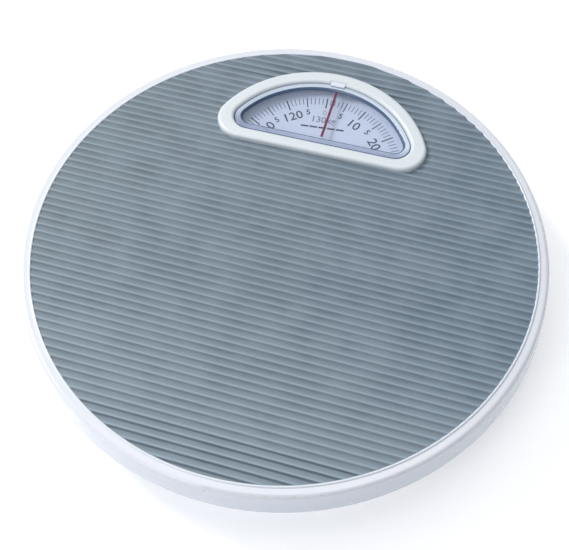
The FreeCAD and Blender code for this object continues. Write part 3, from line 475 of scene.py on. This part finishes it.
def slab(vertices, faces, rows):
    """Closed solid through rows of (left x, right x, y): ribbed above, flat below."""
    first = len(vertices)
    floor = mat_low.z
    for left, right, y in rows:
        top = rib_height(y)
        vertices += [(left, y, top), (right, y, top), (right, y, floor), (left, y, floor)]
    for row in range(len(rows) - 1):
        here = first + 4 * row
        after = here + 4
        for side in range(4):
            turn = (side + 1) % 4
            faces.append((here + side, here + turn, after + turn, after + side))
    last = first + 4 * (len(rows) - 1)
    faces.append((first + 3, first + 2, first + 1, first))
    faces.append((last, last + 1, last + 2, last + 3))


def rows_between(low, high):
    """Even rows that also hit both limits, finer than the ribs."""
    step = RIB_PITCH / RIB_STEPS
    count = int(math.floor((high - low) / step))
    places = [low + step * index for index in range(count + 1)]
    if high - places[-1] > step * 0.05:
        places.append(high)
    return places


def make_mat():
    """The mat in four solids: before the window, on each side of it and behind it."""
    vertices, faces = [], []
    hole = window_outline(BEZEL_RADIUS - MAT_UNDER_BEZEL, BEZEL_FRONT + MAT_UNDER_BEZEL,
                          BEZEL_CORNER - MAT_UNDER_BEZEL)
    front = min(y for _, y in hole)
    back = max(y for _, y in hole)

    def half_chord(y):
        return math.sqrt(max(0.0, MAT_EDGE * MAT_EDGE - y * y))

    def hole_ends(y):
        """Left and right ends of the window's hole on the line at y."""
        crossings = []
        for (x1, y1), (x2, y2) in zip(hole, hole[1:] + hole[:1]):
            if min(y1, y2) <= y <= max(y1, y2) and y1 != y2:
                crossings.append(x1 + (x2 - x1) * (y - y1) / (y2 - y1))
        return min(crossings), max(crossings)

    slab(vertices, faces, [(-half_chord(y), half_chord(y), y) for y in rows_between(-MAT_EDGE, front)])
    rows = rows_between(front, back)
    slab(vertices, faces, [(-half_chord(y), hole_ends(y)[0], y) for y in rows])
    slab(vertices, faces, [(hole_ends(y)[1], half_chord(y), y) for y in rows])
    slab(vertices, faces, [(-half_chord(y), half_chord(y), y) for y in rows_between(back, MAT_EDGE)])
    new_piece("tread_mat_ribbed", vertices, faces, "ribbed_mat", "platform", "ribbed_mat", 50, ("tread_mat",))


# ---------------------------------------------------------------- lip of the rim beside the mat
LIP_RADIUS = MAT_RADIUS + 0.38 * MM
# the lip's section in mm: outwards from its radius, and up from the mat's top
LIP_SECTION = ((0, -1.9), (0, -0.35), (0.25, -0.12), (0.6, -0.08), (1.0, -0.3), (1.25, -0.7), (1.3, -0.85),
               (0.9, -0.9))
LIP_STEPS = 360


def make_rim_lip():
    """Rolled lip that closes the gap between the mat and the rim."""
    vertices, faces = [], []
    for step in range(LIP_STEPS):
        turn = 2 * math.pi * step / LIP_STEPS
        for out, rise in LIP_SECTION:
            radius = LIP_RADIUS + out * MM
            vertices.append((radius * math.cos(turn), radius * math.sin(turn), MAT_TOP + rise * MM))
    count = len(LIP_SECTION)
    for step in range(LIP_STEPS):
        here = step * count
        after = (step + 1) % LIP_STEPS * count
        for side in range(count):
            turn = (side + 1) % count
            faces.append((here + side, here + turn, after + turn, after + side))
    new_piece("rim_lip", vertices, faces, "rim_lip", "platform", "enamel", 60)


# ---------------------------------------------------------------- window lens
LENS_GAP = 0.1 * MM
LENS_CORNER_MIN = 2 * MM
FLANGE = 2.9 * MM
FRONT_FLANGE = 4.0 * MM
LENS_STEP = 0.8 * MM
PANE_DROP = 1.9 * MM
FLANGE_LEVELS = (2, 3)       # bands of faces between one ring of the lens and the next
# bands of faces that carry the dark painted shade on the lens's outer edge and step
PAINTED_SHADE_LEVELS = (0, 1, 4, 5)


def lens_ring(inset, front_inset, z):
    """The opening's outline, drawn in by inset along the arc and by front_inset along the front."""
    corner = max(OPENING_CORNER - inset, LENS_CORNER_MIN)
    return [(x, y, z) for x, y in window_outline(OPENING_RADIUS - inset, OPENING_FRONT + front_inset, corner)]


def loft(rings):
    """Vertices and quads through equal rings, with a face closing the first and last ring."""
    vertices = [point for ring in rings for point in ring]
    count = len(rings[0])
    faces = []
    for level in range(len(rings) - 1):
        for index in range(count):
            turn = (index + 1) % count
            low = level * count
            high = low + count
            faces.append((low + index, low + turn, high + turn, high + index))
    faces.append(tuple(reversed(range(count))))
    faces.append(tuple(range(len(vertices) - count, len(vertices))))
    return vertices, faces


def make_lens():
    """Clear cover: a dished flange all round and a pane sunk below it by a steep step; the outer edge and the
    step carry dark painted shade.
    """
    low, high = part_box("lens")
    rings = [lens_ring(LENS_GAP, LENS_GAP, low.z), lens_ring(LENS_GAP, LENS_GAP, high.z - 0.5 * MM),
             lens_ring(LENS_GAP + 0.45 * MM, LENS_GAP + 0.5 * MM, high.z - 0.05 * MM),
             lens_ring(LENS_GAP + 0.8 * MM, LENS_GAP + 0.9 * MM, high.z),
             lens_ring(FLANGE - 0.35 * MM, FRONT_FLANGE - 0.55 * MM, high.z - 0.45 * MM),
             lens_ring(FLANGE, FRONT_FLANGE, high.z - 0.6 * MM),
             lens_ring(FLANGE + LENS_STEP, FRONT_FLANGE + LENS_STEP, high.z - PANE_DROP)]
    vertices, faces = loft(rings)
    piece = new_piece("lens_cover", vertices, faces, "lens", "platform", "lens", 40, ("lens",))
    piece.visible_shadow = False
    piece.data.materials.append(materials["lens_flange"])
    piece.data.materials.append(materials["lens_edge_painted_shade"])
    count = len(rings[0])
    for face in piece.data.polygons:
        level = face.index // count
        if level in FLANGE_LEVELS:
            face.material_index = 1
        # the outer edge and the step get the dark painted shade
        elif level in PAINTED_SHADE_LEVELS:
            face.material_index = 2


# ---------------------------------------------------------------- dial print
FULL_SCALE = 130
KILO_ANGLE = 2 * math.pi / FULL_SCALE
REST_READING = 2.0
PRINT_LIFT = 0.02 * MM
PRINT_THICK = 0.03 * MM
PRINT_WEIGHT = 0.08 * MM
TICK_OUTER = 47.2 * MM
TEN_TICK = (6.9 * MM, 0.75 * MM)         # length and width
FIVE_TICK = (6.6 * MM, 0.60 * MM)
KILO_TICK = (4.3 * MM, 0.44 * MM)
KILO_TICK_INSET = 0.3 * MM
ZERO_PRINT = (37.0 * MM, 4.8 * MM)       # radius and size
TEN_PRINT = (35.6 * MM, 7.6 * MM)
FIVE_PRINT = (37.1 * MM, 5.0 * MM)
UNIT_PRINT = (31.9 * MM, 5.6 * MM)
RULE_INNER = 26.1 * MM
RULE_OUTER = 27.2 * MM
RULE_DASH = 4.2 * MM
RULE_PITCH = 4.8 * MM
RULE_DASHES = 5
RULE_MIDDLE = 0.4 * MM


def dial_point(radius, turn, side=0.0):
    """Point of the dial at a clockwise turn from +Y, stepped sideways to the right."""
    x = radius * math.sin(turn) + side * math.cos(turn)
    y = radius * math.cos(turn) - side * math.sin(turn)
    return DIAL_CENTRE.x + x, DIAL_CENTRE.y + y


def tick_solid(vertices, faces, turn, inner, outer, width, side=0.0):
    """Raised bar on the dial, side is how far it stands to the right of the radius."""
    first = len(vertices)
    left, right = side - width / 2, side + width / 2
    places = ((inner, left), (inner, right), (outer, right), (outer, left))
    corners = [dial_point(radius, turn, across) for radius, across in places]
    base = DIAL_CENTRE.z + PRINT_LIFT
    for z in (base, base + PRINT_THICK):
        vertices += [(x, y, z) for x, y in corners]
    faces += [(first + 3, first + 2, first + 1, first), (first + 4, first + 5, first + 6, first + 7)]
    for index in range(4):
        turn_index = (index + 1) % 4
        faces.append((first + index, first + turn_index, first + 4 + turn_index, first + 4 + index))


def make_ticks():
    """One mark for each kilogram: long ones at the fives and tens, fine ones between."""
    fine = [], []
    strong = [], []
    for kilo in range(FULL_SCALE):
        turn = (kilo - REST_READING) * KILO_ANGLE
        if kilo % 5 == 0:
            length, width = FIVE_TICK if kilo % 10 else TEN_TICK
            tick_solid(*strong, turn, TICK_OUTER - length, TICK_OUTER, width)
        else:
            length, width = KILO_TICK
            outer = TICK_OUTER - KILO_TICK_INSET
            tick_solid(*fine, turn, outer - length, outer, width)
    new_piece("dial_ticks_fine", *fine, "fine_ink", "dial", "dial_face", 30)
    new_piece("dial_ticks_strong", *strong, "tick_ink", "dial", "dial_face", 30)


def print_text(name, words, turn, radius, size, ink):
    """Raised print on the dial, reading outwards along the radius."""
    curve = bpy.data.curves.new(name, "FONT")
    curve.body = words
    curve.size = size
    curve.align_x = "CENTER"
    curve.align_y = "CENTER"
    curve.extrude = PRINT_THICK / 2
    curve.offset = PRINT_WEIGHT
    curve.resolution_u = 4
    text = bpy.data.objects.new(name, curve)
    bpy.context.scene.collection.objects.link(text)
    x, y = dial_point(radius, turn)
    text.matrix_world = (Matrix.Translation((x, y, DIAL_CENTRE.z + PRINT_LIFT + PRINT_THICK / 2))
                         @ Matrix.Rotation(-turn, 4, "Z"))
    bpy.context.view_layer.update()
    mesh = bpy.data.meshes.new_from_object(text)
    mesh.transform(text.matrix_world)
    bpy.data.objects.remove(text)
    mesh.materials.clear()
    mesh.materials.append(materials[ink])
    piece = bpy.data.objects.new(name, mesh)
    bpy.context.scene.collection.objects.link(piece)
    return piece


def make_numbers():
    """Numbers at the tens, small fives between them, the capacity and a row of plain dashes below it."""
    pieces = []
    for kilo in range(0, FULL_SCALE, 5):
        turn = (kilo - REST_READING) * KILO_ANGLE
        name = "number_%d" % kilo
        if kilo == 0:
            pieces.append(print_text(name, "0", turn, *ZERO_PRINT, "pale_ink"))
        elif kilo % 10 == 0:
            pieces.append(print_text(name, str(kilo), turn, *TEN_PRINT, "number_ink"))
        else:
            pieces.append(print_text(name, "5", turn, *FIVE_PRINT, "number_ink"))
    rest = -REST_READING * KILO_ANGLE
    pieces.append(print_text("unit_kg", "130kg", rest, *UNIT_PRINT, "unit_ink"))
    rule = [], []
    for dash in range(RULE_DASHES):
        across = RULE_MIDDLE + (dash - RULE_DASHES // 2) * RULE_PITCH
        tick_solid(*rule, rest, RULE_INNER, RULE_OUTER, RULE_DASH, across)
    pieces.append(new_piece("dial_rule", *rule, "number_ink", None, "dial_face", 30))
    for piece in pieces:
        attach(piece, "dial")


# ---------------------------------------------------------------- springs
COIL_STEPS = 28
WIRE_SIDES = 10


def make_spring(node, along, coil_radius, wire, turns):
    """Coiled spring along an axis, reaching from the base to the body at its other end."""
    low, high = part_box(node)
    axis = "xyz".index(along)
    middle = [(a + b) / 2 for a, b in zip(low, high)]
    start = low[axis] + wire
    length = high[axis] - low[axis] - 2 * wire
    across = [index for index in range(3) if index != axis]
    total = turns * COIL_STEPS
    vertices, faces = [], []
    for step in range(total + 1):
        turn = 2 * math.pi * step / COIL_STEPS
        centre = Vector(middle)
        centre[axis] = start + length * step / total
        radial = Vector((0, 0, 0))
        radial[across[0]] = math.cos(turn)
        radial[across[1]] = math.sin(turn)
        axial = Vector((0, 0, 0))
        axial[axis] = 1
        for side in range(WIRE_SIDES):
            angle = 2 * math.pi * side / WIRE_SIDES
            outwards = radial * (coil_radius + wire * math.cos(angle))
            vertices.append(centre + outwards + axial * wire * math.sin(angle))
    for step in range(total):
        here = step * WIRE_SIDES
        after = here + WIRE_SIDES
        for side in range(WIRE_SIDES):
            turn = (side + 1) % WIRE_SIDES
            faces.append((here + side, here + turn, after + turn, after + side))
    faces.append(tuple(reversed(range(WIRE_SIDES))))
    faces.append(tuple(range(total * WIRE_SIDES, (total + 1) * WIRE_SIDES)))
    piece = new_piece(node + "_coil", vertices, faces, "spring_wire", None, "spring_wire", 60, (node,))
    begin = Vector(middle)
    end = Vector(middle)
    begin[axis] = low[axis]
    end[axis] = high[axis]
    if node == "main_spring":
        begin, end = end, begin
    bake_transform(piece)


def make_springs():
    """The four springs, each with its coil radius, wire radius and number of turns."""
    make_spring("main_spring", "z", 8.0 * MM, 1.25 * MM, 4)
    make_spring("retainer_spring_left", "z", 4.0 * MM, 0.6 * MM, 12)
    make_spring("retainer_spring_right", "z", 4.0 * MM, 0.6 * MM, 12)
    make_spring("rack_return_spring", "y", 2.2 * MM, 0.35 * MM, 14)


# ---------------------------------------------------------------- the scene
make_camera()
make_studio()
make_floor()
finish_cad_nodes()
make_mat()
make_rim_lip()
make_lens()
make_ticks()
make_numbers()
make_springs()
